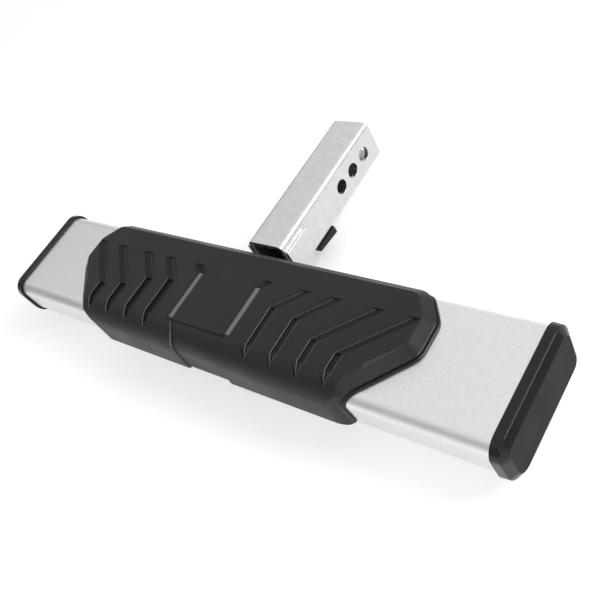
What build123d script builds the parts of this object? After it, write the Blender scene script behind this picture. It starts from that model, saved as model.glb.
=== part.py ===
# Hitch receiver step: a square shank that slides into a vehicle's receiver tube, two gusset
# plates whose arms run under a hollow step bar, and a moulded pad that wraps over the bar's
# front edge. Millimetres. +X runs along the bar, +Y towards the vehicle, +Z up. The origin is
# on the shank's axis at the middle pin hole.
import os
from math import atan2, degrees, hypot, sqrt

from build123d import *

# Shank
TUBE_SIZE = 50.0
TUBE_WALL = 5.0
TUBE_CORNER = 7.0
TUBE_LENGTH = 188.4
PIN_RADIUS = 8.35
PIN_PITCH = 25.4
PIN_END = 25.4

# Step bar
BAR_LENGTH = 657.0
BAR_WIDTH = 127.0
BAR_HEIGHT = 56.0
BAR_WALL = 2.0
BAR_TOP_RADIUS = 14.0
BAR_BOTTOM_RADIUS = 20.0
BAR_BACK_RADIUS = 14.0
BAR_TAPER = 2.4
BAR_GAP = 11.0
BAR_DROP = 2.0

# End caps
CAP_PROUD = 3.0
CAP_RIM_LENGTH = 9.2
CAP_RIM_DRAFT = 0.5
CAP_CHAMFER_LENGTH = 5.2
CAP_CHAMFER_DROP = 7.6
CAP_WALL = 3.0
PLUG_DEPTH = 22.0
PLUG_CLEARANCE = 0.25
PLUG_RIB = 2.5
PLUG_RIB_SPACING = 40.0

# Step pad
PAD_LENGTH = 476.2
PAD_THICKNESS = 14.0
PAD_EDGE_HEIGHT = 4.2
PAD_BEVEL = 9.5
PAD_BACK_INSET = 2.9
PAD_BACK_FOOT = 6.0
PAD_FRONT_THICKNESS = 6.1
PAD_FRONT_RADIUS = 27.0
PAD_SKIRT = 45.0
PAD_SKIRT_RADIUS = 5.0
PAD_BACK_CUT = (21.5, 28.7)
PAD_END_STRAIGHT = 36.0
PAD_FRONT_LENGTH = 362.0
PAD_CORNER_RADIUS = 20.0
PAD_FRONT_CORNER = 40.0
PAD_SKIRT_CORNER = 12.0
PAD_LIP = 2.5
PAD_LIP_THICKNESS = 2.2
PAD_SKIN = 5.0
PAD_SIDE_WALL = 8.0
PAD_RIB = 4.0
PAD_RIB_PITCH = 48.0
PAD_RIB_ROWS = 2

# Chevron tread of the pad. Each chevron has a sloping inner side, a deep pointed pocket along its
# straight leg and a V-shaped leg that slants out to the back. Bends are counted from the back
# ends. The two sides mirror each other about a line a little left of the pad's middle.
TREAD_MIDDLE = -1.6
TREAD_DEPTH = 1.9
TREAD_INNER_WIDTH = 7.2
TREAD_OUTER_WIDTH = 10.6
POCKET_DEPTH = 3.4
POCKET_WIDTH = 9.0
TREAD_FIRST = 36.8
TREAD_PITCH = 32.4
TREAD_BACK = 34.7
TREAD_BENDS = (26.5, 31.5, 47.0, 53.0)
TREAD_KNEE = 105.7
TREAD_TIP = 120.2
OUTER_SLOT_WIDTH = 5.0
OUTER_SLOT_LENGTH = 42.5
OUTER_SLOT_PLACE = (215.0, 78.4)
STRIPE_DEPTH = 1.0
STRIPE_PLACE = 42.0
STRIPE_WIDTH = 7.2
STRIPE_BEND = 10.0
PANEL_DEPTH = 2.0
PANEL_HALF = 40.0
PANEL_CHAMFER = 7.0
PANEL_CHAMFER_LENGTH = 12.0

# Gussets, saddle plate and welds
GUSSET_THICKNESS = 5.0
GUSSET_TOP_DROP = 1.5
GUSSET_SEAT = 37.0
GUSSET_BACK_HEIGHT = 16.0
GUSSET_BACK_RADIUS = 24.0
GUSSET_DEPTH = 16.0
GUSSET_NOSE_DEPTH = 9.0
GUSSET_NOSE_INSET = 25.0
GUSSET_INNER_RADIUS = 6.0
GUSSET_NOSE_RADIUS = 6.0
SADDLE_THICKNESS = 6.0
SADDLE_WIDTH = 120.0
SADDLE_LENGTH = 90.0
SADDLE_CORNER = 8.0
WELD_LEG = 3.0
WELD_FACE = 0.42

# Fasteners
BOLT_RADIUS = 4.0
BOLT_HEAD_ACROSS = 13.0
BOLT_HEAD_HEIGHT = 5.3
BOLT_END = 2.0
BOLT_HOLE_CLEARANCE = 0.5
THREAD_CLEARANCE = 0.1
BOLT_SPACING_X = 92.0
BOLT_SPACING_Y = 62.0
WASHER_RADIUS = 8.0
WASHER_THICKNESS = 1.6
NUT_PLATE_WIDTH = 24.0
NUT_PLATE_MARGIN = 8.0
NUT_PLATE_THICKNESS = 6.0
CLIP_WIDTH = 7.0
CLIP_THICKNESS = 5.0
CLIP_CLEARANCE = 0.3
CLIP_BARB_WIDTH = 11.0
CLIP_BARB_LENGTH = 9.0
CLIP_TIP_WIDTH = 3.0
CLIP_DEPTH = 6.0
CLIP_BOSS = 15.0
CLIP_COLUMNS = (-144.0, -48.0, 48.0, 144.0)

# Stop wedge under the shank
STOP_NEAR_HEIGHT = 5.5
STOP_FAR_HEIGHT = 9.5
STOP_LENGTH = 34.0
STOP_GAP = 4.4
STOP_EDGE = 1.5

# Places worked out from the sizes above
tube_half = TUBE_SIZE / 2
tube_far = PIN_END + PIN_PITCH
tube_near = tube_far - TUBE_LENGTH
bar_half = BAR_LENGTH / 2
bar_back = tube_near - BAR_GAP
bar_front = bar_back - BAR_WIDTH
bar_middle = (bar_back + bar_front) / 2
bar_top = tube_half - BAR_DROP
bar_bottom = bar_top - BAR_HEIGHT
pad_top = bar_top + PAD_THICKNESS
pad_back = bar_back - PAD_BACK_INSET
pad_front = bar_front - PAD_FRONT_THICKNESS
pad_bottom = bar_top - PAD_SKIRT
pad_half = PAD_LENGTH / 2
tread_back = pad_back - TREAD_BACK
tread_knee = pad_back - TREAD_KNEE
saddle_bottom = bar_bottom - SADDLE_THICKNESS
gusset_outer = tube_half + GUSSET_THICKNESS
gusset_top = tube_half - TUBE_CORNER - GUSSET_TOP_DROP
gusset_back = tube_near + GUSSET_SEAT
bar_floor = bar_bottom + BAR_WALL
bolt_places = [
    (x * BOLT_SPACING_X / 2, bar_middle + y * BOLT_SPACING_Y / 2) for x in (-1, 1) for y in (-1, 1)
]
clip_rows = [bar_middle + PAD_RIB_PITCH / 2, bar_middle - PAD_RIB_PITCH / 2]
clip_places = [(x, y) for x in CLIP_COLUMNS for y in clip_rows]


def bar_section(grow=0.0):
    """Outline of the bar in the YZ plane with its rounded corners, parallel to itself when grown."""
    corners = {
        (bar_back, bar_top): BAR_BACK_RADIUS,
        (bar_front, bar_top): BAR_TOP_RADIUS,
        (bar_front + BAR_TAPER, bar_bottom): BAR_BOTTOM_RADIUS,
        (bar_back, bar_bottom): BAR_BACK_RADIUS,
    }
    section = make_face(Polyline(*corners, close=True))
    for place, radius in corners.items():
        section = fillet(section.vertices().sort_by_distance(place)[0], radius)
    return offset(section, grow) if grow else section


def along_bar(section, length, start=None):
    """Extrude a YZ outline along the bar, centred unless a start is given."""
    first = -length / 2 if start is None else start
    return extrude(Plane.YZ.offset(first) * section, length)


def vertical_pins(places, radius, bottom, top):
    """Upright cylinders at the given places, used for shanks and for their holes."""
    return [Pos(x, y, bottom) * extrude(Circle(radius), top - bottom) for x, y in places]


def hitch_tube():
    """Square shank with rounded corners and three pin holes through both sides."""
    outer = RectangleRounded(TUBE_SIZE, TUBE_SIZE, TUBE_CORNER)
    inner_size = TUBE_SIZE - 2 * TUBE_WALL
    inner = RectangleRounded(inner_size, inner_size, TUBE_CORNER - TUBE_WALL)
    tube = extrude(Plane.XZ.offset(-tube_far) * (outer - inner), TUBE_LENGTH)
    for step in (-1, 0, 1):
        tube -= Pos(0, step * PIN_PITCH, 0) * Rot(0, 90, 0) * Cylinder(PIN_RADIUS, 2 * TUBE_SIZE)
    return tube


def gusset(side):
    """Side plate: seats on the shank, sweeps down behind the bar and runs forward under it."""
    nose = bar_front + GUSSET_NOSE_INSET
    sweep_top = gusset_top - GUSSET_BACK_HEIGHT
    sweep = GUSSET_BACK_RADIUS
    drop = Plane.YZ.offset(side * tube_half)
    bow = CenterArc((gusset_back - sweep, sweep_top), sweep, 0, -45)
    knee_z = saddle_bottom - GUSSET_DEPTH
    knee = (bow @ 1).Y - knee_z
    edge = Polyline(
        bow @ 1,
        ((bow @ 1).X - knee, knee_z),
        (nose, saddle_bottom - GUSSET_NOSE_DEPTH),
        (nose, saddle_bottom),
        (tube_near, saddle_bottom),
        (tube_near, gusset_top),
        (gusset_back, gusset_top),
        bow @ 0,
    )
    plate = make_face(bow + edge)
    crotch = plate.vertices().sort_by_distance((tube_near, saddle_bottom))[0]
    plate = fillet(crotch, GUSSET_INNER_RADIUS)
    tip = plate.vertices().sort_by_distance((nose, saddle_bottom - GUSSET_NOSE_DEPTH))[0]
    plate = fillet(tip, GUSSET_NOSE_RADIUS)
    return extrude(drop * plate, side * GUSSET_THICKNESS)


def saddle_plate():
    """Flat plate across the two arms, bolted to the underside of the bar."""
    plate = extrude(RectangleRounded(SADDLE_WIDTH, SADDLE_LENGTH, SADDLE_CORNER), SADDLE_THICKNESS)
    plate = Pos(0, bar_middle, saddle_bottom) * plate
    return plate - vertical_pins(bolt_places, BOLT_RADIUS + BOLT_HOLE_CLEARANCE, saddle_bottom, bar_bottom)


def bead(leg):
    """Section of a fillet weld in its corner: two legs and a slightly hollow face."""
    face = ThreePointArc((leg, 0), (leg * WELD_FACE, leg * WELD_FACE), (0, leg))
    return make_face(face + Polyline((0, leg), (0, 0), (leg, 0)))


def top_weld(side):
    """Bead along the gusset's top edge on the shank."""
    run = GUSSET_SEAT - WELD_LEG
    plane = Plane((side * tube_half, tube_near, gusset_top), x_dir=(side, 0, 0), z_dir=(0, -side, 0))
    return extrude(plane * bead(WELD_LEG), -side * run)


def back_weld(side):
    """Bead down the gusset's back edge on the shank."""
    plane = Plane((side * tube_half, gusset_back, gusset_top), x_dir=(side, 0, 0), z_dir=(0, 0, side))
    return extrude(plane * bead(WELD_LEG), -side * GUSSET_BACK_HEIGHT)


def saddle_weld(side):
    """Bead along the outside of an arm, under the saddle plate."""
    start = bar_middle - SADDLE_LENGTH / 2 + SADDLE_CORNER
    run = SADDLE_LENGTH - 2 * SADDLE_CORNER
    plane = Plane((side * gusset_outer, start, saddle_bottom), x_dir=(side, 0, 0), z_dir=(0, side, 0))
    return extrude(plane * bead(WELD_LEG), side * run)


def step_bar():
    """Hollow bar with clip slots in its top wall and bolt holes in its bottom wall."""
    bar = along_bar(bar_section() - bar_section(-BAR_WALL), BAR_LENGTH)
    slot_size = (CLIP_WIDTH + 2 * CLIP_CLEARANCE, CLIP_THICKNESS + 2 * CLIP_CLEARANCE)
    slot = extrude(Rectangle(*slot_size), BAR_WALL)
    bar -= [Pos(x, y, bar_top - BAR_WALL) * slot for x, y in clip_places]
    bolt_radius = BOLT_RADIUS + BOLT_HOLE_CLEARANCE
    return bar - vertical_pins(bolt_places, bolt_radius, bar_bottom - BAR_WALL, bar_floor + BAR_WALL)


def sloped(outline, length, inset):
    """Extrude an outline so that it has drawn in by the inset at its far end."""
    return extrude(outline, length, taper=degrees(atan2(inset, length)))


def end_cap(side):
    """Moulded cap: rim proud of the bar, wide chamfer, flat end and a ribbed plug."""
    shoulder = bar_half + CAP_RIM_LENGTH
    end = shoulder + CAP_CHAMFER_LENGTH
    shoulder_grow = CAP_PROUD - CAP_RIM_DRAFT
    end_grow = shoulder_grow - CAP_CHAMFER_DROP
    rim = Plane.YZ.offset(bar_half) * bar_section(CAP_PROUD)
    crease = Plane.YZ.offset(shoulder) * bar_section(shoulder_grow)
    cap = sloped(rim, CAP_RIM_LENGTH, CAP_RIM_DRAFT)
    cap += sloped(crease, CAP_CHAMFER_LENGTH, CAP_CHAMFER_DROP)
    plug_outer = bar_section(-BAR_WALL - PLUG_CLEARANCE)
    hollow = bar_section(end_grow - CAP_WALL)
    plug_start = bar_half - PLUG_DEPTH
    cap += along_bar(plug_outer, PLUG_DEPTH, plug_start)
    cap -= along_bar(hollow, end - CAP_WALL - plug_start, plug_start)
    rib = Rectangle(PLUG_RIB, BAR_HEIGHT)
    for place in (-PLUG_RIB_SPACING / 2, PLUG_RIB_SPACING / 2):
        web = along_bar(Pos(bar_middle + place, (bar_top + bar_bottom) / 2) * rib, PLUG_DEPTH, plug_start)
        cap += web & along_bar(plug_outer, PLUG_DEPTH, plug_start)
    return cap if side > 0 else mirror(cap, Plane.YZ)


def pad_profile(inset=0.0):
    """Side view of the pad's outer surface, over the top and down the front, in the YZ plane."""
    top = pad_top - inset
    front = pad_front + inset
    bottom = pad_bottom + inset
    radius = PAD_FRONT_RADIUS - inset
    skirt = PAD_SKIRT_RADIUS
    back = bar_middle + BAR_WIDTH
    back_foot = bar_top - PAD_BACK_FOOT
    nose = CenterArc((front + radius, top - radius), radius, 90, 90)
    heel = CenterArc((front + skirt, bottom + skirt), skirt, 180, 90)
    face = Line(nose @ 1, heel @ 0)
    rest = Polyline(
        heel @ 1,
        (bar_middle, bottom),
        (bar_middle, back_foot),
        (back, back_foot),
        (back, top),
        nose @ 0,
    )
    return make_face(nose + face + heel + rest)


def pad_outline(grow=0.0):
    """Plan of the pad: cut corners behind, longer cuts that run in to the front edge."""
    back_x, back_y = PAD_BACK_CUT
    shoulder_y = pad_back - back_y
    right = [
        (PAD_FRONT_LENGTH / 2, pad_front),
        (pad_half, shoulder_y - PAD_END_STRAIGHT),
        (pad_half, shoulder_y),
        (pad_half - back_x, pad_back),
    ]
    left = [(-x, y) for x, y in reversed(right)]
    plan = make_face(Polyline(*right, *left, close=True))
    front_corners = plan.vertices().sort_by(Axis.Y)[:2]
    plan = fillet(front_corners, PAD_FRONT_CORNER)
    back_corners = plan.vertices().filter_by_position(Axis.Y, shoulder_y - PAD_END_STRAIGHT, pad_back)
    plan = fillet(back_corners, PAD_CORNER_RADIUS)
    return offset(plan, grow, kind=Kind.ARC) if grow else plan


def pad_front_view():
    """Front view of the pad in the XZ plane: full length above, skirt with rounded lower corners."""
    skirt_length = PAD_FRONT_LENGTH + 2 * (PAD_FRONT_THICKNESS + PAD_LIP)
    middle_z = pad_bottom + PAD_SKIRT / 2
    skirt = Pos(0, middle_z) * RectangleRounded(skirt_length, PAD_SKIRT, PAD_SKIRT_CORNER)
    return skirt + Pos(0, middle_z + PAD_SKIRT / 2) * Rectangle(BAR_LENGTH, PAD_SKIRT)


def column(plan):
    """An upright prism through the whole pad, on a plan outline."""
    return Pos(0, 0, pad_bottom - BAR_HEIGHT) * extrude(plan, 2 * BAR_HEIGHT + PAD_THICKNESS)


def sunk(plan, depth):
    """The part of the pad's skin, down to a depth, that lies under a plan outline."""
    return column(plan) - along_bar(pad_profile(depth), PAD_LENGTH)


def pocket(valley, bend):
    """Deep pocket along a chevron's straight leg, pointed in front."""
    outer = valley + POCKET_WIDTH
    plan = Polyline(
        ((valley + outer) / 2, pad_back - TREAD_TIP),
        (outer, tread_knee),
        (outer, tread_back - bend),
        (valley, tread_back - bend),
        (valley, tread_knee),
        close=True,
    )
    return sunk(make_face(plan), POCKET_DEPTH)


def straight_side(valley, bend):
    """Sloping inner side of a chevron's straight leg, which follows the pad over its front edge."""
    inner = valley - TREAD_INNER_WIDTH
    plan = Polyline(
        (inner, tread_knee),
        (valley + POCKET_WIDTH / 2, pad_back - TREAD_TIP),
        (valley, tread_knee),
        (valley, tread_back - bend),
        (inner, tread_back - bend),
        close=True,
    )
    width = TREAD_INNER_WIDTH + POCKET_WIDTH / 2
    drop = TREAD_DEPTH * width / TREAD_INNER_WIDTH
    lower = Plane.YZ.offset(inner + width) * Pos(0, -drop) * pad_profile()
    return column(make_face(plan)) - extrude(lower, hypot(width, drop), dir=(-width, 0, drop))


def slanted_leg(valley, bend):
    """V-shaped leg of a chevron, which slants out to the back."""
    start = tread_back - bend
    plan = Polyline(
        (valley - TREAD_INNER_WIDTH, start),
        (valley + TREAD_OUTER_WIDTH, start),
        (valley + bend + TREAD_OUTER_WIDTH, tread_back),
        (valley + bend - TREAD_INNER_WIDTH, tread_back),
        close=True,
    )
    inner = TREAD_INNER_WIDTH / sqrt(2)
    outer = TREAD_OUTER_WIDTH / sqrt(2)
    section = Polyline((-2 * inner, TREAD_DEPTH), (0, -TREAD_DEPTH), (2 * outer, TREAD_DEPTH), close=True)
    across = Plane((valley, start, pad_top), x_dir=(1, -1, 0), z_dir=(-1, -1, 0))
    reach = 2 * (bend + TREAD_OUTER_WIDTH)
    return extrude(across * make_face(section), reach, both=True) & column(make_face(plan))


def outer_slot():
    """Short slot beyond the chevrons, with a floor that falls to its outer edge."""
    x, y = OUTER_SLOT_PLACE
    half = OUTER_SLOT_WIDTH / 2
    high = TREAD_DEPTH
    section = Polyline((-half, high), (-half, 0), (half, -TREAD_DEPTH), (half, high), close=True)
    across = Plane((x, pad_back - y, pad_top), x_dir=(1, -1, 0), z_dir=(-1, -1, 0))
    return extrude(across * make_face(section), OUTER_SLOT_LENGTH / 2, both=True)


def tread():
    """The chevrons, the short legs above the stripes and the outer slots, on both sides of the middle."""
    slots = [outer_slot(), mirror(outer_slot(), Plane.YZ)]
    right = [slanted_leg(TREAD_FIRST, STRIPE_BEND)]
    for index, bend in enumerate(TREAD_BENDS, 1):
        valley = TREAD_FIRST + index * TREAD_PITCH
        right += [pocket(valley, bend), straight_side(valley, bend), slanted_leg(valley, bend)]
    return slots + right + [mirror(mark, Plane.YZ.offset(TREAD_MIDDLE)) for mark in right]


def stripes():
    """Two shallow smooth channels that flank the middle of the pad."""
    back = tread_back - STRIPE_BEND
    inner = STRIPE_PLACE - STRIPE_WIDTH / 2
    outer = STRIPE_PLACE + STRIPE_WIDTH / 2
    end = tread_knee - STRIPE_WIDTH / 2
    channel = make_face(Polyline((inner, back), (outer, back), (outer, tread_knee), (inner, end), close=True))
    return channel + mirror(channel, Plane.YZ)


def front_panel():
    """Recess in the middle of the pad that runs over the front edge to the bottom."""
    narrow = PANEL_HALF - PANEL_CHAMFER
    right = [
        (PANEL_HALF, tread_knee),
        (narrow, tread_knee - PANEL_CHAMFER_LENGTH),
        (narrow, pad_front - BAR_WIDTH / 2),
    ]
    left = [(-x, y) for x, y in reversed(right)]
    return make_face(Polyline(*right, *left, close=True))


def pad_hollows():
    """Hollows under the pad's top, between its ribs and round its clip bosses."""
    cell = PAD_RIB_PITCH - PAD_RIB
    columns = 2 * int(pad_half / PAD_RIB_PITCH) + 2
    cells = Sketch() + [
        Pos(0, bar_middle) * place * Rectangle(cell, cell)
        for place in GridLocations(PAD_RIB_PITCH, PAD_RIB_PITCH, columns, PAD_RIB_ROWS)
    ]
    cells &= pad_outline(-PAD_SIDE_WALL)
    cells -= [Pos(x, y) * Rectangle(CLIP_BOSS, CLIP_BOSS) for x, y in clip_places]
    return Pos(0, 0, bar_top) * extrude(cells, PAD_THICKNESS - PAD_SKIN)


def step_pad():
    """Moulded pad: bevelled top, wrap-round front, thin lip, chevron tread and hollow underside."""
    edge_z = bar_top + PAD_EDGE_HEIGHT
    plan = pad_outline()
    body = extrude(Pos(0, 0, pad_bottom) * plan, edge_z - pad_bottom)
    body += sloped(Pos(0, 0, edge_z) * plan, pad_top - edge_z, PAD_BEVEL)
    lip = extrude(Pos(0, 0, pad_bottom) * pad_outline(PAD_LIP), edge_z - pad_bottom)
    body += lip & along_bar(bar_section(PAD_LIP_THICKNESS), BAR_LENGTH)
    body &= along_bar(pad_profile(), BAR_LENGTH)
    body &= extrude(Plane.XZ * pad_front_view(), BAR_WIDTH - pad_front)
    body -= along_bar(bar_section(), BAR_LENGTH)
    body -= tread()
    body -= sunk(stripes(), STRIPE_DEPTH)
    body -= sunk(front_panel(), PANEL_DEPTH)
    body -= pad_hollows()
    clip_hole = extrude(Rectangle(CLIP_WIDTH, CLIP_THICKNESS), CLIP_DEPTH)
    return body - [Pos(x, y, bar_top) * clip_hole for x, y in clip_places]


def pad_clips():
    """Push-in clips: a flat shank in the pad's boss, through the bar's wall, with an arrowhead below it."""
    ceiling = bar_top - BAR_WALL
    right = [
        (CLIP_WIDTH / 2, bar_top + CLIP_DEPTH),
        (CLIP_WIDTH / 2, ceiling),
        (CLIP_BARB_WIDTH / 2, ceiling),
        (CLIP_TIP_WIDTH / 2, ceiling - CLIP_BARB_LENGTH),
    ]
    left = [(-x, z) for x, z in reversed(right)]
    clip = extrude(Plane.XZ * make_face(Polyline(*right, *left, close=True)), CLIP_THICKNESS / 2, both=True)
    return [Pos(x, y, 0) * clip for x, y in clip_places]


def mount_bolts():
    """Hex bolts up through the saddle plate and the bar's bottom wall into the nut plates."""
    seat = saddle_bottom - WASHER_THICKNESS
    end = bar_floor + NUT_PLATE_THICKNESS + BOLT_END
    head = extrude(RegularPolygon(BOLT_HEAD_ACROSS / 2, 6, major_radius=False), BOLT_HEAD_HEIGHT)
    bolt = Pos(0, 0, -BOLT_HEAD_HEIGHT) * head + extrude(Circle(BOLT_RADIUS), end - seat)
    return [Pos(x, y, seat) * bolt for x, y in bolt_places]


def flat_washers():
    """Plain washers between the bolt heads and the saddle plate."""
    washer = extrude(Circle(WASHER_RADIUS) - Circle(BOLT_RADIUS + BOLT_HOLE_CLEARANCE), WASHER_THICKNESS)
    return [Pos(x, y, saddle_bottom - WASHER_THICKNESS) * washer for x, y in bolt_places]


def nut_plate(side):
    """Tapped strip on the bar's floor, for the pair of bolts on one side."""
    length = BOLT_SPACING_Y + 2 * NUT_PLATE_MARGIN
    strip = extrude(Rectangle(NUT_PLATE_WIDTH, length), NUT_PLATE_THICKNESS)
    top = bar_floor + NUT_PLATE_THICKNESS
    holes = vertical_pins(bolt_places, BOLT_RADIUS + THREAD_CLEARANCE, bar_floor, top)
    return Pos(side * BOLT_SPACING_X / 2, bar_middle, bar_floor) * strip - holes


def stop_block():
    """Black wedge under the shank, thicker towards the mouth of the vehicle's receiver."""
    near = gusset_back + STOP_GAP
    far = near + STOP_LENGTH
    side_view = Polyline(
        (near, -tube_half),
        (near, -tube_half - STOP_NEAR_HEIGHT),
        (far, -tube_half - STOP_FAR_HEIGHT),
        (far, -tube_half),
        close=True,
    )
    wedge = along_bar(make_face(side_view), TUBE_SIZE)
    return fillet(wedge.edges().filter_by(Axis.Z), STOP_EDGE)


def node(name, shape):
    """Write one piece."""
    shape.label = name
    export_step(shape, f"parts/{name}.step")


def nodes(name, shapes):
    """Write a row of like pieces, numbered from 1."""
    for number, shape in enumerate(shapes, 1):
        node(f"{name}_{number}", shape)


os.makedirs("parts", exist_ok=True)
node("hitch_tube", hitch_tube())
node("stop_block", stop_block())
node("saddle_plate", saddle_plate())
node("step_bar", step_bar())
node("step_pad", step_pad())
for hand, side in (("left", -1), ("right", 1)):
    node(f"gusset_{hand}", gusset(side))
    node(f"weld_top_{hand}", top_weld(side))
    node(f"weld_back_{hand}", back_weld(side))
    node(f"weld_saddle_{hand}", saddle_weld(side))
    node(f"end_cap_{hand}", end_cap(side))
    node(f"nut_plate_{hand}", nut_plate(side))
nodes("mount_bolt", mount_bolts())
node("flat_washers", Compound(flat_washers()))
nodes("pad_clip", pad_clips())
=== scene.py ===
import math

import bpy
from mathutils import Matrix, Vector


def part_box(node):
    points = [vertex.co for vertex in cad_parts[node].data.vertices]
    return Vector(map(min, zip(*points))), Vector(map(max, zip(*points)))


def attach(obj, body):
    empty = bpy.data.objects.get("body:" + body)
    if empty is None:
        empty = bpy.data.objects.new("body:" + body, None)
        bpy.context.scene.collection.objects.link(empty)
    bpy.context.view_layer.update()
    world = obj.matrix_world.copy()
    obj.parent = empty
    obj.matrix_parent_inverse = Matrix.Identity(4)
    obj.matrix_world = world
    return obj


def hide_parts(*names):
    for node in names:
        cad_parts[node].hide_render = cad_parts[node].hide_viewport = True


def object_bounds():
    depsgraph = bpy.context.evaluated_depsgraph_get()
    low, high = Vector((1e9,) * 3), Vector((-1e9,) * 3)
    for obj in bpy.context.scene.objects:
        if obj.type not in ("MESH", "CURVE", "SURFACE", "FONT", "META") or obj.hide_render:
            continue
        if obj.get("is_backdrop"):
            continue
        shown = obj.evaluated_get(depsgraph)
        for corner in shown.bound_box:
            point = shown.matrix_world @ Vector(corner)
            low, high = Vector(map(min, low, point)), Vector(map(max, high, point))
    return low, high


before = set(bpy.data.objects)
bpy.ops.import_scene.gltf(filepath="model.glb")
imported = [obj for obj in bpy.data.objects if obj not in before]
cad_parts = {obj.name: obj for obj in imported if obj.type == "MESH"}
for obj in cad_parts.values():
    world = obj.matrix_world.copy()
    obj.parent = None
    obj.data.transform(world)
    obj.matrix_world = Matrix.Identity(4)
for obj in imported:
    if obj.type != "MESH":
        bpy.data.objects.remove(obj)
cad_low, cad_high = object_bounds()


# Shank: a length of square steel tube with rounded corners that slides into the receiver.
# It is sawn to length, drilled through both sides for the hitch pin at three places, and
# zinc plated to a pale satin silver with the saw and drill edges lightly broken.
SHANK_WALL = 0.005
SHANK_CORNER = 0.007
SHANK_CORNER_STEPS = 10
PIN_RADIUS = 0.00835
PIN_PITCH = 0.0254
PIN_STEPS = 64
SAWN_EDGE = 0.0004
EDGE_STEPS = 2
SMOOTH_BELOW = 19  # degrees between two faces
SHARP_ABOVE = 32  # degrees between two faces
FLAT_FACE_WEIGHT = 100
ALIGNED = 0.99  # the least share of a direction that counts as along an axis
END_FACING = 0.9  # least share along Y of the direction that a sawn end faces
WALL_FACING = 0.3  # most share along Y of the direction that a wall faces
NOISE_RANGE = (0.3, 0.7)  # where nearly all of a noise texture lies
ZINC_PALE = "#D9DAD9"
ZINC_DULL = "#CDCECE"
ZINC_ROUGHNESS = (0.30, 0.38)
ZINC_CLOUD_MM = 9.0
ZINC_CLOUD_DETAIL = 4.0
ZINC_CLOUD_FINENESS = 0.6
ZINC_DRAW_MM = 1.6
ZINC_DRAW_DETAIL = 2.0
ZINC_DRAW_STRETCH = 0.04
ZINC_MIX_RANGE = (0.1, 0.45)
ZINC_BUMP_STRENGTH = 0.06
ZINC_BUMP_HEIGHT = 0.0003
# The dark steel's colours are painted shade. Past the far pin hole it pales to zinc as painted light.
SCALE_SHADE_DARK = "#474644"
SCALE_SHADE_PALE = "#63615E"
SCALE_CLOUD_MM = 6.0
SCALE_CLOUD_DETAIL = 4.0
SCALE_ROUGHNESS = 0.7
PAINTED_LIGHT_FROM = (0.025, 0.040)


def deselect():
    """Leaves edit mode, if it is on, with nothing selected."""
    if bpy.context.object and bpy.context.object.mode == "EDIT":
        bpy.ops.object.mode_set(mode="OBJECT")
    bpy.ops.object.select_all(action="DESELECT")


def work_on(piece):
    """Makes a piece the only selected and active object."""
    deselect()
    piece.select_set(True)
    bpy.context.view_layer.objects.active = piece


def block(name, low, high):
    """A box between two corners, with its place in its mesh."""
    deselect()
    bpy.ops.mesh.primitive_cube_add(size=1, location=(low + high) / 2)
    piece = bpy.context.object
    piece.name = name
    piece.scale = high - low
    bpy.ops.object.transform_apply(location=True, rotation=True, scale=True)
    return piece


def rod(name, start, end, radius, steps):
    """A round bar between two points, with its place in its mesh."""
    deselect()
    line = end - start
    turn = line.to_track_quat("Z", "Y").to_euler()
    bpy.ops.mesh.primitive_cylinder_add(
        vertices=steps, radius=radius, depth=line.length, location=(start + end) / 2, rotation=turn
    )
    piece = bpy.context.object
    piece.name = name
    bpy.ops.object.transform_apply(location=True, rotation=True, scale=True)
    return piece


def pick(piece, kind, wanted):
    """Goes to edit mode with only the wanted edges or faces selected, by middle and direction."""
    work_on(piece)
    bpy.ops.object.mode_set(mode="EDIT")
    bpy.ops.mesh.select_mode(type=kind)
    bpy.ops.mesh.select_all(action="DESELECT")
    bpy.ops.object.mode_set(mode="OBJECT")
    mesh = piece.data
    if kind == "FACE":
        for face in mesh.polygons:
            face.select = wanted(face.center, face.normal)
    else:
        for edge in mesh.edges:
            start, end = (mesh.vertices[i].co for i in edge.vertices)
            edge.select = wanted((start + end) / 2, (end - start).normalized())
    bpy.ops.object.mode_set(mode="EDIT")


def modify(piece, kind, **settings):
    """Adds a modifier to a piece and applies it."""
    work_on(piece)
    modifier = piece.modifiers.new(kind.title(), kind)
    for name, value in settings.items():
        setattr(modifier, name, value)
    bpy.ops.object.modifier_apply(modifier=modifier.name)


def combine(piece, tool, operation):
    """Cuts a tool out of a piece, or adds it, and removes the tool."""
    modify(piece, "BOOLEAN", object=tool, operation=operation, solver="EXACT")
    bpy.data.objects.remove(tool)


def break_edges(piece, width, steps=EDGE_STEPS, sharper_than=SHARP_ABOVE):
    """Rounds a piece's sharp edges a little and shades it, with its flat faces kept flat."""
    work_on(piece)
    bpy.ops.object.shade_smooth_by_angle(angle=math.radians(SMOOTH_BELOW))
    modify(
        piece, "BEVEL", width=width, segments=steps, use_clamp_overlap=False,
        limit_method="ANGLE", angle_limit=math.radians(sharper_than),
    )
    modify(piece, "WEIGHTED_NORMAL", keep_sharp=True, weight=FLAT_FACE_WEIGHT)


def linear(code):
    """A colour written as sRGB hex, as the linear value that a shader takes."""
    parts = [int(code[i:i + 2], 16) / 255 for i in (1, 3, 5)]
    return [x / 12.92 if x <= 0.04045 else ((x + 0.055) / 1.055) ** 2.4 for x in parts] + [1.0]


def per_mm(size):
    """A texture's scale for a pattern of that size in millimetres."""
    return 1000.0 / size


def add_node(tree, kind, inputs, **settings):
    """Adds a node with its settings. An input is a value, or another node's output to link."""
    node = tree.nodes.new(kind)
    for name, value in settings.items():
        setattr(node, name, value)
    for name, value in inputs.items():
        if isinstance(value, bpy.types.NodeSocket):
            tree.links.new(value, node.inputs[name])
        else:
            node.inputs[name].default_value = value
    return node


def new_material(name):
    """An empty material and its node tree."""
    material = bpy.data.materials.new(name)
    material.use_nodes = True
    material.node_tree.nodes.clear()
    return material, material.node_tree


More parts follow.
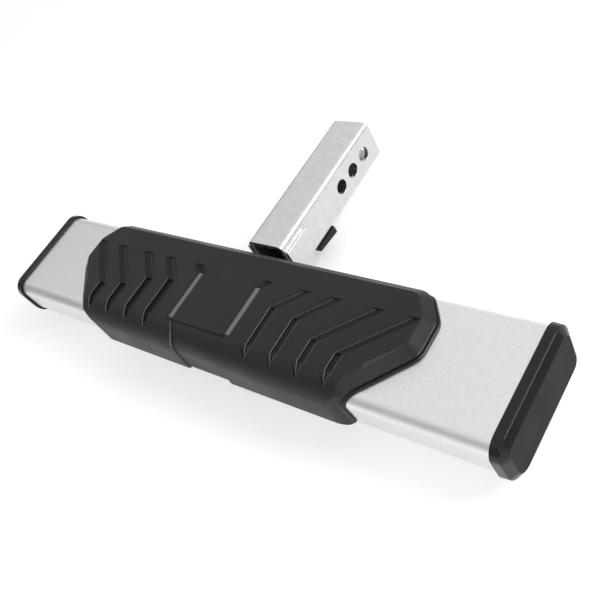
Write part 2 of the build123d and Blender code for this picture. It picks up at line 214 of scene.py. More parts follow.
def zinc_plate():
    """Zinc plate on drawn steel: a pale grey metal with faint clouds and draw lines along Y."""
    material, tree = new_material("zinc_plated_steel")
    place = add_node(tree, "ShaderNodeTexCoord", {}).outputs["Object"]
    cloud = add_node(tree, "ShaderNodeTexNoise", {
        "Vector": place, "Scale": per_mm(ZINC_CLOUD_MM),
        "Detail": ZINC_CLOUD_DETAIL, "Roughness": ZINC_CLOUD_FINENESS,
    })
    along = add_node(tree, "ShaderNodeMapping", {
        "Vector": place, "Scale": (1.0, ZINC_DRAW_STRETCH, 1.0),
    })
    draw = add_node(tree, "ShaderNodeTexNoise", {
        "Vector": along.outputs["Vector"], "Scale": per_mm(ZINC_DRAW_MM), "Detail": ZINC_DRAW_DETAIL,
    })
    colour = add_node(tree, "ShaderNodeValToRGB", {"Fac": cloud.outputs["Fac"]})
    for stop, code, position in zip(colour.color_ramp.elements, (ZINC_DULL, ZINC_PALE), NOISE_RANGE):
        stop.color = linear(code)
        stop.position = position
    both = add_node(tree, "ShaderNodeMath", {
        0: cloud.outputs["Fac"], 1: draw.outputs["Fac"],
    }, operation="MULTIPLY")
    rough = add_node(tree, "ShaderNodeMapRange", {
        "Value": both.outputs["Value"], "From Min": ZINC_MIX_RANGE[0], "From Max": ZINC_MIX_RANGE[1],
        "To Min": ZINC_ROUGHNESS[0], "To Max": ZINC_ROUGHNESS[1],
    })
    bump = add_node(tree, "ShaderNodeBump", {
        "Height": draw.outputs["Fac"], "Strength": ZINC_BUMP_STRENGTH, "Distance": ZINC_BUMP_HEIGHT,
    })
    shader = add_node(tree, "ShaderNodeBsdfPrincipled", {
        "Base Color": colour.outputs["Color"], "Metallic": 1.0,
        "Roughness": rough.outputs["Result"], "Normal": bump.outputs["Normal"],
    })
    add_node(tree, "ShaderNodeOutputMaterial", {"Surface": shader.outputs["BSDF"]})
    return material


def bare_and_shaded():
    """Bare steel inside the tube and on front-facing cut ends: dull and patchy, and dark as painted shade.
    Towards the back end it turns pale, a painted light on the inside seen through the far pin hole."""
    material, tree = new_material("mill_scale_steel")
    place = add_node(tree, "ShaderNodeTexCoord", {}).outputs["Object"]
    patch = add_node(tree, "ShaderNodeTexNoise", {
        "Vector": place, "Scale": per_mm(SCALE_CLOUD_MM), "Detail": SCALE_CLOUD_DETAIL,
    })
    colour = add_node(tree, "ShaderNodeValToRGB", {"Fac": patch.outputs["Fac"]})
    for stop, code, position in zip(colour.color_ramp.elements, (SCALE_SHADE_DARK, SCALE_SHADE_PALE), NOISE_RANGE):
        stop.color = linear(code)
        stop.position = position
    # Past the far pin hole the colour turns to the zinc's, a painted light.
    depth = add_node(tree, "ShaderNodeSeparateXYZ", {"Vector": place})
    reach = add_node(tree, "ShaderNodeMapRange", {
        "Value": depth.outputs["Y"], "From Min": PAINTED_LIGHT_FROM[0], "From Max": PAINTED_LIGHT_FROM[1],
    })
    plated = add_node(tree, "ShaderNodeMixRGB", {
        "Fac": reach.outputs["Result"], "Color1": colour.outputs["Color"], "Color2": linear(ZINC_DULL),
    })
    shader = add_node(tree, "ShaderNodeBsdfPrincipled", {
        "Base Color": plated.outputs["Color"], "Metallic": 1.0, "Roughness": SCALE_ROUGHNESS,
    })
    add_node(tree, "ShaderNodeOutputMaterial", {"Surface": shader.outputs["BSDF"]})
    return material


def finish_faces(piece, material, wanted):
    """Gives the wanted faces of a piece a further material."""
    piece.data.materials.append(material)
    pick(piece, "FACE", wanted)
    piece.active_material_index = len(piece.data.materials) - 1
    bpy.ops.object.material_slot_assign()
    bpy.ops.object.mode_set(mode="OBJECT")


def along_y(middle, direction):
    """True of an edge that runs along Y."""
    return abs(direction.y) > ALIGNED


def shaded_bare_face(middle, normal):
    """True of a face on the inside of the shank's walls, or on its sawn front end."""
    inner = shank_high.x - SHANK_WALL + SAWN_EDGE / 4
    inside = abs(middle.x) < inner and abs(middle.z) < inner
    return normal.y < -END_FACING or inside and abs(normal.y) < WALL_FACING


shank_low, shank_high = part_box("hitch_tube")
shank = block("shank", shank_low, shank_high)
pick(shank, "EDGE", along_y)
bpy.ops.mesh.bevel(offset=SHANK_CORNER, segments=SHANK_CORNER_STEPS, affect="EDGES")
pick(shank, "FACE", lambda middle, normal: abs(normal.y) > ALIGNED)
bpy.ops.mesh.delete(type="FACE")
modify(shank, "SOLIDIFY", thickness=SHANK_WALL, offset=-1, use_even_offset=True)
for hole in (-1, 0, 1):
    side = Vector((shank_high.x * 2, 0, 0))
    place = Vector((0, hole * PIN_PITCH, 0))
    combine(shank, rod("drill", place - side, place + side, PIN_RADIUS, PIN_STEPS), "DIFFERENCE")
break_edges(shank, SAWN_EDGE)
zinc = zinc_plate()
shank.data.materials.append(zinc)
# The inside and the sawn front end take the dark steel, whose dark is painted shade.
shaded_bare_steel = bare_and_shaded()
finish_faces(shank, shaded_bare_steel, shaded_bare_face)
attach(shank, "root")
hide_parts("hitch_tube")


# Gussets: two laser-cut steel plates, one on each side of the shank. Each seats on the shank,
# sweeps down behind the bar and runs forward under it. They are plated with the shank, so they
# have the same zinc, and their cut edges are broken.
CUT_EDGE = 0.0008
CUT_FACING = 0.7
MERGE_WITHIN = 1e-6
FLAT_WITHIN = 0.5  # degrees between two faces


def copy_solid(node, name):
    """A clean copy of a solid: its loose triangles merged, then joined into whole faces."""
    piece = bpy.data.objects.new(name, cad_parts[node].data.copy())
    bpy.context.scene.collection.objects.link(piece)
    piece.data.materials.clear()
    work_on(piece)
    bpy.ops.mesh.customdata_custom_splitnormals_clear()
    bpy.ops.object.mode_set(mode="EDIT")
    bpy.ops.mesh.select_all(action="SELECT")
    bpy.ops.mesh.remove_doubles(threshold=MERGE_WITHIN)
    bpy.ops.mesh.mark_sharp(clear=True)
    bpy.ops.mesh.dissolve_limited(angle_limit=math.radians(FLAT_WITHIN))
    bpy.ops.object.mode_set(mode="OBJECT")
    return piece


for hand in ("left", "right"):
    gusset = copy_solid(f"gusset_{hand}", f"gusset_plate_{hand}")
    break_edges(gusset, CUT_EDGE)
    gusset.data.materials.append(zinc)
    # Their front-facing cut edges take the dark steel as painted shade. The other edges stay zinc.
    finish_faces(gusset, shaded_bare_steel, lambda middle, normal: normal.y < -CUT_FACING)
    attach(gusset, "root")
    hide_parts(f"gusset_{hand}")


# Saddle plate: a flat steel plate across the two arms, drilled for four bolts. It is welded to
# the arms' top edges and plated with them.
saddle = copy_solid("saddle_plate", "saddle")
break_edges(saddle, CUT_EDGE)
saddle.data.materials.append(zinc)
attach(saddle, "root")
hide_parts("saddle_plate")


# Welds: fillet beads along the gussets' top and back edges on the shank, and along the arms
# under the saddle plate. Each is a row of overlapping ripples, left as welded and plated over.
RIPPLE_PITCH = 0.0010
RIPPLE_RADIUS = 0.0023
RIPPLE_THICKNESS = 0.0014
RIPPLE_SEGMENTS = 20
RIPPLE_RINGS = 10
BEAD_VOXEL = 0.0003


def weld_bead(name, start, end):
    """A bead of overlapping ripples along a corner from one point to another."""
    deselect()
    run = end - start
    turn = run.to_track_quat("Z", "Y").to_euler()
    bpy.ops.mesh.primitive_uv_sphere_add(
        segments=RIPPLE_SEGMENTS, ring_count=RIPPLE_RINGS, radius=1, location=start, rotation=turn
    )
    piece = bpy.context.object
    piece.name = name
    piece.scale = (RIPPLE_RADIUS, RIPPLE_RADIUS, RIPPLE_THICKNESS)
    bpy.ops.object.transform_apply(location=True, rotation=True, scale=True)
    count = int(run.length / RIPPLE_PITCH)
    modify(
        piece, "ARRAY", count=count, use_relative_offset=False, use_constant_offset=True,
        constant_offset_displace=run / (count - 1),
    )
    modify(piece, "REMESH", mode="VOXEL", voxel_size=BEAD_VOXEL)
    bpy.ops.object.shade_smooth()
    return piece


for hand, side in (("left", -1), ("right", 1)):
    seat_x = side * shank_high.x
    top_low, top_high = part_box(f"weld_top_{hand}")
    back_low, back_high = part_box(f"weld_back_{hand}")
    saddle_low, saddle_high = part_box(f"weld_saddle_{hand}")
    arm_x = min((saddle_low.x, saddle_high.x), key=abs)
    inset = RIPPLE_THICKNESS
    runs = {
        f"weld_top_{hand}": (
            Vector((seat_x, top_low.y + inset, top_low.z)),
            Vector((seat_x, top_high.y, top_low.z)),
        ),
        f"weld_back_{hand}": (
            Vector((seat_x, back_low.y, back_high.z)),
            Vector((seat_x, back_low.y, back_low.z + inset)),
        ),
        f"weld_saddle_{hand}": (
            Vector((arm_x, saddle_low.y + inset, saddle_high.z)),
            Vector((arm_x, saddle_high.y - inset, saddle_high.z)),
        ),
    }
    for node, (start, end) in runs.items():
        bead = weld_bead(f"{node}_bead", start, end)
        bead.data.materials.append(zinc)
        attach(bead, "root")
        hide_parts(node)


# Stop wedge: a black moulded rubber block under the shank, which takes up the slack in the
# mouth of the receiver.
WEDGE_EDGE = 0.0008
RUBBER_FINISH = {
    "dark": "#181818", "pale": "#222222", "grain_mm": 1.2,
    "roughness": 0.65, "specular": 0.3, "bump_height": 0.0002,
}
GRAIN_DETAIL = 3.0
GRAIN_FINENESS = 0.55
GRAIN_BUMP_STRENGTH = 0.35
FLOW_MM = 45.0
FLOW_DETAIL = 2.0
SHEEN_SPREAD = 0.05


def moulded(name, dark, pale, grain_mm, roughness, specular, bump_height):
    """Grained moulding, a little uneven in colour and sheen, with a fine bump that breaks up its shine."""
    material, tree = new_material(name)
    place = add_node(tree, "ShaderNodeTexCoord", {}).outputs["Object"]
    grain = add_node(tree, "ShaderNodeTexNoise", {
        "Vector": place, "Scale": per_mm(grain_mm), "Detail": GRAIN_DETAIL, "Roughness": GRAIN_FINENESS,
    })
    flow = add_node(tree, "ShaderNodeTexNoise", {
        "Vector": place, "Scale": per_mm(FLOW_MM), "Detail": FLOW_DETAIL,
    })
    colour = add_node(tree, "ShaderNodeValToRGB", {"Fac": grain.outputs["Fac"]})
    for stop, code, position in zip(colour.color_ramp.elements, (dark, pale), NOISE_RANGE):
        stop.color = linear(code)
        stop.position = position
    rough = add_node(tree, "ShaderNodeMapRange", {
        "Value": flow.outputs["Fac"], "From Min": NOISE_RANGE[0], "From Max": NOISE_RANGE[1],
        "To Min": roughness - SHEEN_SPREAD, "To Max": roughness + SHEEN_SPREAD,
    })
    bump = add_node(tree, "ShaderNodeBump", {
        "Height": grain.outputs["Fac"], "Strength": GRAIN_BUMP_STRENGTH, "Distance": bump_height,
    })
    shader = add_node(tree, "ShaderNodeBsdfPrincipled", {
        "Base Color": colour.outputs["Color"], "Roughness": rough.outputs["Result"],
        "Specular IOR Level": specular, "Normal": bump.outputs["Normal"],
    })
    add_node(tree, "ShaderNodeOutputMaterial", {"Surface": shader.outputs["BSDF"]})
    return material


wedge = copy_solid("stop_block", "stop_wedge")
break_edges(wedge, WEDGE_EDGE)
wedge.data.materials.append(moulded("black_rubber", **RUBBER_FINISH))
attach(wedge, "root")
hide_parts("stop_block")


# Step bar: a hollow bar of thin stainless steel with large rounded corners, its front leaning
# in towards the bottom. It is slotted on top for the pad's clips, drilled below for the bolts,
# and blasted to an even satin with a fine grain.
BAR_WIDTH = 0.127
BAR_TAPER = 0.0024
BAR_WALL = 0.002
BAR_RADII = {"back_top": 0.014, "front_top": 0.014, "front_bottom": 0.020, "back_bottom": 0.014}
BAR_CORNER_STEPS = 14
CORNER_OUT = (0.45, 0.49)  # least shares of the section's depth and height, from its middle
CLIP_WIDTH = 0.007
SLOT_CLEARANCE = 0.0003
BOLT_HOLE_RADIUS = 0.0045
BOLT_HOLE_STEPS = 32
BLAST_PALE = "#ECECEB"
BLAST_DULL = "#D8D8D7"
BLAST_GRAIN_MM = 1.4
BLAST_GRAIN_DETAIL = 4.0
BLAST_GRAIN_FINENESS = 0.7
BLAST_CLOUD_MM = 30.0
BLAST_CLOUD_DETAIL = 3.0
BLAST_BUMP_STRENGTH = 0.12
BLAST_BUMP_HEIGHT = 0.0003
BLAST_ROUGHNESS = (0.35, 0.43)

bar_low, bar_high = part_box("step_bar")


def bar_block(name, x_low, x_high, grow, radii):
    """A solid length of the bar's section, with its faces moved out by grow."""
    front = bar_high.y - BAR_WIDTH
    low = Vector((x_low, front - grow, bar_low.z - grow))
    high = Vector((x_high, bar_high.y + grow, bar_high.z + grow))
    piece = block(name, low, high)
    middle_y = (low.y + high.y) / 2
    middle_z = (low.z + high.z) / 2
    lean = math.atan2(BAR_TAPER, bar_high.z - bar_low.z)
    for vertex in piece.data.vertices:
        if vertex.co.y < middle_y:
            drop = bar_high.z - vertex.co.z
            vertex.co.y = front + drop * math.tan(lean) - grow / math.cos(lean)
    corners = {
        "back_top": (1, 1, 0.0), "front_top": (-1, 1, -lean),
        "front_bottom": (-1, -1, lean), "back_bottom": (1, -1, 0.0),
    }
    for corner, (back, top, opening) in corners.items():
        pick(piece, "EDGE", lambda at, line: (
            abs(line.x) > ALIGNED
            and (at.y - middle_y) * back > (high.y - low.y) * CORNER_OUT[0]
            and (at.z - middle_z) * top > (high.z - low.z) * CORNER_OUT[1]
        ))
        reach = radii[corner] / math.tan((math.pi / 2 + opening) / 2)
        bpy.ops.mesh.bevel(offset=reach, segments=BAR_CORNER_STEPS, affect="EDGES")
    bpy.ops.object.mode_set(mode="OBJECT")
    return piece


def blasted_stainless():
    """Blasted stainless steel: a pale metal with a soft, even sheen broken by fine grain.
    The grain is drawn coarser than the real 0.2 mm so that it shows."""
    material, tree = new_material("blasted_stainless_steel")
    place = add_node(tree, "ShaderNodeTexCoord", {}).outputs["Object"]
    grain = add_node(tree, "ShaderNodeTexNoise", {
        "Vector": place, "Scale": per_mm(BLAST_GRAIN_MM),
        "Detail": BLAST_GRAIN_DETAIL, "Roughness": BLAST_GRAIN_FINENESS,
    })
    cloud = add_node(tree, "ShaderNodeTexNoise", {
        "Vector": place, "Scale": per_mm(BLAST_CLOUD_MM), "Detail": BLAST_CLOUD_DETAIL,
    })
    colour = add_node(tree, "ShaderNodeValToRGB", {"Fac": grain.outputs["Fac"]})
    for stop, code, position in zip(colour.color_ramp.elements, (BLAST_DULL, BLAST_PALE), NOISE_RANGE):
        stop.color = linear(code)
        stop.position = position
    rough = add_node(tree, "ShaderNodeMapRange", {
        "Value": cloud.outputs["Fac"], "From Min": NOISE_RANGE[0], "From Max": NOISE_RANGE[1],
        "To Min": BLAST_ROUGHNESS[0], "To Max": BLAST_ROUGHNESS[1],
    })
    bump = add_node(tree, "ShaderNodeBump", {
        "Height": grain.outputs["Fac"], "Strength": BLAST_BUMP_STRENGTH, "Distance": BLAST_BUMP_HEIGHT,
    })
    shader = add_node(tree, "ShaderNodeBsdfPrincipled", {
        "Base Color": colour.outputs["Color"], "Metallic": 1.0,
        "Roughness": rough.outputs["Result"], "Normal": bump.outputs["Normal"],
    })
    add_node(tree, "ShaderNodeOutputMaterial", {"Surface": shader.outputs["BSDF"]})
    return material


bar = bar_block("bar", bar_low.x, bar_high.x, 0.0, BAR_RADII)
pick(bar, "FACE", lambda middle, normal: abs(normal.x) > ALIGNED)
bpy.ops.mesh.delete(type="FACE")
modify(bar, "SOLIDIFY", thickness=BAR_WALL, offset=-1, use_even_offset=True)
bar_floor = bar_low.z + BAR_WALL
for node in sorted(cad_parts):
    if node.startswith("pad_clip_"):
        clip_low, clip_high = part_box(node)
        at = (clip_low + clip_high) / 2
        half_y = (clip_high.y - clip_low.y) / 2 + SLOT_CLEARANCE
        half_x = CLIP_WIDTH / 2 + SLOT_CLEARANCE
        low = Vector((at.x - half_x, at.y - half_y, bar_high.z - 2 * BAR_WALL))
        high = Vector((at.x + half_x, at.y + half_y, bar_high.z + BAR_WALL))
        combine(bar, block("punch", low, high), "DIFFERENCE")
    if node.startswith("mount_bolt_"):
        bolt_low, bolt_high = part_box(node)
        at = (bolt_low + bolt_high) / 2
        start = Vector((at.x, at.y, bar_low.z - BAR_WALL))
        end = Vector((at.x, at.y, bar_floor + BAR_WALL))
        combine(bar, rod("drill", start, end, BOLT_HOLE_RADIUS, BOLT_HOLE_STEPS), "DIFFERENCE")
break_edges(bar, SAWN_EDGE)
bar.data.materials.append(blasted_stainless())
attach(bar, "root")
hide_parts("step_bar")


# Fasteners: four hex bolts with flat washers, up through the saddle plate and the bar's bottom
# wall into two tapped strips inside the bar. All are zinc plated.
HEAD_EDGE = 0.0004
BOLTS = 4

bolts = [f"mount_bolt_{n}" for n in range(1, BOLTS + 1)]
for node in bolts + ["flat_washers", "nut_plate_left", "nut_plate_right"]:
    fastener = copy_solid(node, f"{node}_plated")
    break_edges(fastener, HEAD_EDGE)
    fastener.data.materials.append(zinc)
    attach(fastener, "root")
    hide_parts(node)


# End caps: black moulded plastic caps pushed into the bar's open ends by a hollow, ribbed plug.
# Outside, a rim stands proud of the bar and a wide chamfer leads to a flat, finely grained end.
CAP_PROUD = 0.003
CAP_LAND = 0.0004
CAP_RIM = 0.0092
CAP_RIM_DRAFT = 0.0005
CAP_CHAMFER = 0.0052
CAP_CHAMFER_DROP = 0.0076
CAP_EDGE = 0.0008
CAP_EDGE_STEPS = 3
CAP_SHARP_ABOVE = 14  # degrees between two faces
CAP_WALL = 0.003
PLUG_DEPTH = 0.022
PLUG_CLEARANCE = 0.00025
PLUG_RIB = 0.0025
PLUG_RIB_SPACING = 0.040
CAP_FINISH = {
    "dark": "#181818", "pale": "#212121", "grain_mm": 1.3,
    "roughness": 0.20, "specular": 0.25, "bump_height": 0.0002,
}
END_FINISH = {
    "dark": "#1B1B1B", "pale": "#2A2A2A", "grain_mm": 0.9,
    "roughness": 0.7, "specular": 0.2, "bump_height": 0.0004,
}


def grown(radii, by):
    """Corner radii of a section that lies outside another."""
    return {corner: radius + by for corner, radius in radii.items()}


cap_plastic = moulded("black_moulded_polypropylene", **CAP_FINISH)
end_plastic = moulded("black_grained_polypropylene", **END_FINISH)
bar_middle_y = bar_high.y - BAR_WIDTH / 2
bar_middle_z = (bar_high.z + bar_low.z) / 2
for hand, side in (("left", -1), ("right", 1)):
    land = bar_high.x + CAP_LAND
    cap = bar_block(f"cap_{hand}", bar_high.x, land, CAP_PROUD, grown(BAR_RADII, CAP_PROUD))
    pick(cap, "FACE", lambda middle, normal: normal.x > ALIGNED)
    bpy.ops.mesh.inset(thickness=CAP_RIM_DRAFT, depth=CAP_RIM - CAP_LAND)
    bpy.ops.mesh.inset(thickness=CAP_CHAMFER_DROP, depth=CAP_CHAMFER)
    bpy.ops.object.mode_set(mode="OBJECT")
    plug_fit = BAR_WALL + PLUG_CLEARANCE
    plug_start = bar_high.x - PLUG_DEPTH
    plug_end = bar_high.x + CAP_RIM / 2
    plug = bar_block("plug", plug_start, plug_end, -plug_fit, grown(BAR_RADII, -plug_fit))
    combine(cap, plug, "UNION")
    hollow_fit = CAP_RIM_DRAFT + CAP_CHAMFER_DROP - CAP_PROUD + CAP_WALL
    hollow_end = bar_high.x + CAP_RIM + CAP_CHAMFER - CAP_WALL
    hollow_radii = grown(BAR_RADII, -hollow_fit)
    hollow = bar_block("hollow", plug_start - CAP_WALL, hollow_end, -hollow_fit, hollow_radii)
    combine(cap, hollow, "DIFFERENCE")
    for place in (-0.5, 0.5):
        rib_y = bar_middle_y + place * PLUG_RIB_SPACING
        rib_z = bar_high.z - hollow_fit + CAP_WALL / 2
        low = Vector((plug_start, rib_y - PLUG_RIB / 2, 2 * bar_middle_z - rib_z))
        high = Vector((bar_high.x, rib_y + PLUG_RIB / 2, rib_z))
        combine(cap, block("rib", low, high), "UNION")
    if side < 0:
        work_on(cap)
        bpy.ops.object.mode_set(mode="EDIT")
        bpy.ops.mesh.select_all(action="SELECT")
        bpy.ops.transform.mirror(constraint_axis=(True, False, False), center_override=(0, 0, 0))
        bpy.ops.mesh.normals_make_consistent(inside=False)
        bpy.ops.object.mode_set(mode="OBJECT")
    break_edges(cap, CAP_EDGE, steps=CAP_EDGE_STEPS, sharper_than=CAP_SHARP_ABOVE)
    cap.data.materials.append(cap_plastic)
    end_x = bar_high.x + CAP_RIM + CAP_CHAMFER - CAP_EDGE / 2
    finish_faces(cap, end_plastic, lambda middle, normal: (
        middle.x * side > end_x and normal.x * side > ALIGNED
    ))
    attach(cap, "root")
    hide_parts(f"end_cap_{hand}")


# Step pad: one moulding of black plastic that lies on the bar and wraps over its front edge. It
# has bevelled edges, a thin lip that hugs the bar, deep chevrons to grip a shoe and two smooth
# stripes beside the middle. Barbed clips under it snap into the bar's slots.
PAD_EDGE = 0.0006
CLIP_EDGE = 0.0003
PAD_FINISH = {
    "dark": "#171717", "pale": "#202020", "grain_mm": 1.2,
    "roughness": 0.46, "specular": 0.3, "bump_height": 0.0002,
}
STRIPE_DEPTH = 0.001
STRIPE_INNER = 0.0384
STRIPE_OUTER = 0.0456
# The stripes are grey. The panel's side walls below them take the same grey as painted light.
STRIPE_AND_LIT_WALL_FINISH = {
    "dark": "#626262", "pale": "#7C7C7C", "grain_mm": 1.0,
    "roughness": 0.55, "specular": 0.3, "bump_height": 0.0001,
}
PANEL_TOP = 0.1057
PANEL_WALL = (0.0327, 0.0403)
PANEL_WALL_FACING = 0.8
TREAD_DEPTH = 0.0019
POCKET_DEPTH = 0.0034
POCKET_LEAN = 0.4  # most that a pocket's side leans, across for each unit along
# Pocket floors and leg slopes have a rough grain, and are darker than the pad as painted shade.
POCKET_SHADE_FINISH = {
    "dark": "#131313", "pale": "#1E1E1E", "grain_mm": 1.0,
    "roughness": 0.6, "specular": 0.2, "bump_height": 0.0003,
}
LEG_SLOPE = (0.9, 0.99)  # upward share of a leg's outer slope
SLOT_START = 0.198
SLOT_SLOPE = (0.9, 0.96)  # upward share of a slot's floor
# A slot's floor is coloured lighter than the pad as painted light.
SLOT_LIGHT_FINISH = {
    "dark": "#2A2A2A", "pale": "#343434", "grain_mm": 1.2,
    "roughness": 0.4, "specular": 0.4, "bump_height": 0.0001,
}
RIM_WIDTH = 0.00045
RIM_PROFILE = 0.9
# The light grey of the rims and creases is a painted highlight.
RIM_HIGHLIGHT_SLOT = 1
RIM_HIGHLIGHT_FINISH = {
    "dark": "#5E5E5E", "pale": "#727272", "grain_mm": 1.2,
    "roughness": 0.4, "specular": 0.4, "bump_height": 0.0001,
}
ROUND_PROFILE = 0.5
TREAD_SPAN = (0.034, 0.124)
TREAD_DROP = 4 * POCKET_DEPTH
TREAD_MIDDLE = -0.0016
TREAD_FIRST = 0.0368
TREAD_PITCH = 0.0324
POCKET_WIDTH = 0.009
PANEL_REACH = 0.048
CREASE_WIDTH = 0.0003
SLANT_WITHIN = 0.1  # how far a leg's direction may be from level and diagonal
TURNED_FROM = 0.1  # least backward or forward share of a slope's direction

pad_low, pad_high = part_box("step_pad")


def round_edges(piece, width, wanted, inward=False, profile=ROUND_PROFILE, material=-1):
    """Rounds the wanted outward or inward edges of a piece, and may give the rounding another of
    its materials. A profile near 1 keeps the corner, with a narrow strip on each side of it."""
    work_on(piece)
    mesh = piece.data
    sides = {}
    for face in mesh.polygons:
        for key in face.edge_keys:
            sides.setdefault(key, []).append(face)
    layer = "bevel_weight_edge"
    weights = mesh.attributes.get(layer) or mesh.attributes.new(layer, "FLOAT", "EDGE")
    for edge in mesh.edges:
        start, end = (mesh.vertices[i].co for i in edge.vertices)
        small, large = sorted(sides[edge.key], key=lambda face: face.area)
        turned = ((small.center - large.center).dot(large.normal) > 0) == inward
        sharp = small.normal.dot(large.normal) < math.cos(math.radians(SHARP_ABOVE))
        chosen = turned and sharp and wanted((start + end) / 2, (end - start).normalized())
        weights.data[edge.index].value = float(chosen)
    modify(
        piece, "BEVEL", width=width, segments=EDGE_STEPS, limit_method="WEIGHT",
        use_clamp_overlap=False, material=material, profile=profile,
    )


def on_tread(middle):
    """True of a place among the chevrons, the stripes and the front panel."""
    back = pad_high.y - middle.y
    if abs(middle.x) < PANEL_REACH:
        return back > TREAD_SPAN[0] and middle.z > pad_low.z + PAD_EDGE
    return TREAD_SPAN[0] < back < TREAD_SPAN[1] and middle.z > pad_high.z - TREAD_DROP


def on_pocket_rim(middle, direction):
    """True of an edge along a pocket's sides, which run along Y or lean in to the pocket's point."""
    place = abs(middle.x - TREAD_MIDDLE) + TREAD_MIDDLE - TREAD_FIRST
    across = (place + PAD_EDGE) % TREAD_PITCH - PAD_EDGE
    beside = place > TREAD_PITCH / 2 and -PAD_EDGE < across < POCKET_WIDTH + PAD_EDGE
    return on_tread(middle) and beside and abs(direction.x) < POCKET_LEAN * abs(direction.y)


def on_leg_crease(middle, direction):
    """True of the crease along the bottom of a chevron's slanted leg."""
    diagonal = abs(abs(direction.x) - abs(direction.y)) < SLANT_WITHIN
    level = abs(direction.z) < SLANT_WITHIN
    return on_tread(middle) and diagonal and level and PANEL_REACH < abs(middle.x) < SLOT_START


def on_outline(middle, direction):
    """True of an edge round the pad's outside."""
    return not on_tread(middle)


def in_shaded_tread(middle, normal):
    """True of a face on a pocket's floor, or on the outer slope of a chevron's slanted leg."""
    floor = abs(middle.z - pad_high.z + POCKET_DEPTH) < POCKET_DEPTH / 8 and normal.z > ALIGNED
    inward = normal.x * middle.x < 0 and normal.y > TURNED_FROM
    sloping = LEG_SLOPE[0] < normal.z < LEG_SLOPE[1]
    slope = inward and sloping and middle.z > pad_high.z - TREAD_DEPTH
    return on_tread(middle) and (floor or slope)


def on_slot_floor(middle, normal):
    """True of a face on the sloping floor of a slot beyond the chevrons."""
    outward = normal.x * middle.x > 0 and normal.y < -TURNED_FROM
    beyond = abs(middle.x) > SLOT_START and middle.z > pad_high.z - TREAD_DEPTH
    return on_tread(middle) and beyond and outward and SLOT_SLOPE[0] < normal.z < SLOT_SLOPE[1]


def on_stripe_or_lit_wall(middle, normal):
    """True of a face on a stripe's floor, or on a side wall of the front panel below it."""
    if middle.y > pad_high.y - PANEL_TOP:
        level = abs(middle.z - pad_high.z + STRIPE_DEPTH) < STRIPE_DEPTH / 4
        return level and normal.z > ALIGNED and STRIPE_INNER < abs(middle.x) < STRIPE_OUTER
    # The panel's side walls are given the stripes' grey as painted light.
    inward = normal.x * middle.x < 0 and abs(normal.x) > PANEL_WALL_FACING
    return inward and PANEL_WALL[0] < abs(middle.x) < PANEL_WALL[1]


pad = copy_solid("step_pad", "tread_pad")
pad.data.materials.append(moulded("black_moulded_pad", **PAD_FINISH))
pad.data.materials.append(moulded("painted_highlight_pad_rim", **RIM_HIGHLIGHT_FINISH))
work_on(pad)
bpy.ops.object.shade_smooth_by_angle(angle=math.radians(SMOOTH_BELOW))
# Pocket rims and the legs' creases are rounded and given the light grey of painted highlights.
round_edges(pad, RIM_WIDTH, on_pocket_rim, profile=RIM_PROFILE, material=RIM_HIGHLIGHT_SLOT)
round_edges(pad, CREASE_WIDTH, on_leg_crease, inward=True, profile=RIM_PROFILE, material=RIM_HIGHLIGHT_SLOT)
round_edges(pad, PAD_EDGE, on_outline)
work_on(pad)
bpy.ops.object.mode_set(mode="EDIT")
bpy.ops.mesh.select_all(action="SELECT")
bpy.ops.mesh.dissolve_degenerate(threshold=MERGE_WITHIN)
bpy.ops.object.mode_set(mode="OBJECT")
modify(pad, "WEIGHTED_NORMAL", keep_sharp=True, weight=FLAT_FACE_WEIGHT)
# Stripe floors are grey. The panel's lit side walls get that grey as painted light.
stripe = moulded("grey_stripe_and_painted_wall_light", **STRIPE_AND_LIT_WALL_FINISH)
finish_faces(pad, stripe, on_stripe_or_lit_wall)
# Pocket floors and the legs' outer slopes take the rough finish, its darker colour a painted shade.
rough = moulded("black_rough_tread_painted_shade", **POCKET_SHADE_FINISH)
finish_faces(pad, rough, in_shaded_tread)
# The slots' outward and forward sloping floors take a lighter colour, as painted light.
slot_light = moulded("painted_light_slot_floor", **SLOT_LIGHT_FINISH)
finish_faces(pad, slot_light, on_slot_floor)
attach(pad, "root")
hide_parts("step_pad")
for node in sorted(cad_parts):
    if node.startswith("pad_clip_"):
        clip = copy_solid(node, f"{node}_barb")
        break_edges(clip, CLIP_EDGE)
        clip.data.materials.append(cap_plastic)
        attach(clip, "root")
        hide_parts(node)


# Stage: a plain white floor in a white studio, which the metal mirrors as bright above and behind
# and dim at the sides. Two soft lamps light the step, and the camera has the photograph's place.
FLOOR_SIZE = 12.0
FLOOR_WHITE = "#F2F2F2"
FLOOR_ROUGHNESS = 0.9
STUDIO_WHITE = "#FFFFFF"
FLOOR_LIFT = 0.32
CAMERA_PLACE = Vector((0.5778, -0.4780, 0.5633))
CAMERA_RIGHT = Vector((0.75448, 0.50672, -0.41714))
CAMERA_UP = Vector((-0.19591, 0.78046, 0.59371))
CAMERA_BACK = Vector((0.6264, -0.36622, 0.68811))
CAMERA_LENS = 48.11
CAMERA_NEAR = 0.01
WORLD_FILL = 0.65
CEILING_SHEEN = 0.96
WALL_SHEEN = 0.2
FRONT_SHEEN = 0.48
FRONT_SIDES = (-0.25, -0.60)
WALL_HEIGHTS = (0.26, 0.60)
FRONT_RISE = 0.35
BACKDROP_SHEEN = 0.95
BACKDROP_SIDES = (0.40, 0.68)
LAMPS = {  # direction from the bar, distance, size and power in watts
    "right_back": (Vector((0.69, 0.36, 0.63)), 2.2, 1.0, 18.0),
    "front_right": (Vector((0.53, -0.60, 0.60)), 2.2, 0.9, 6.5),
}

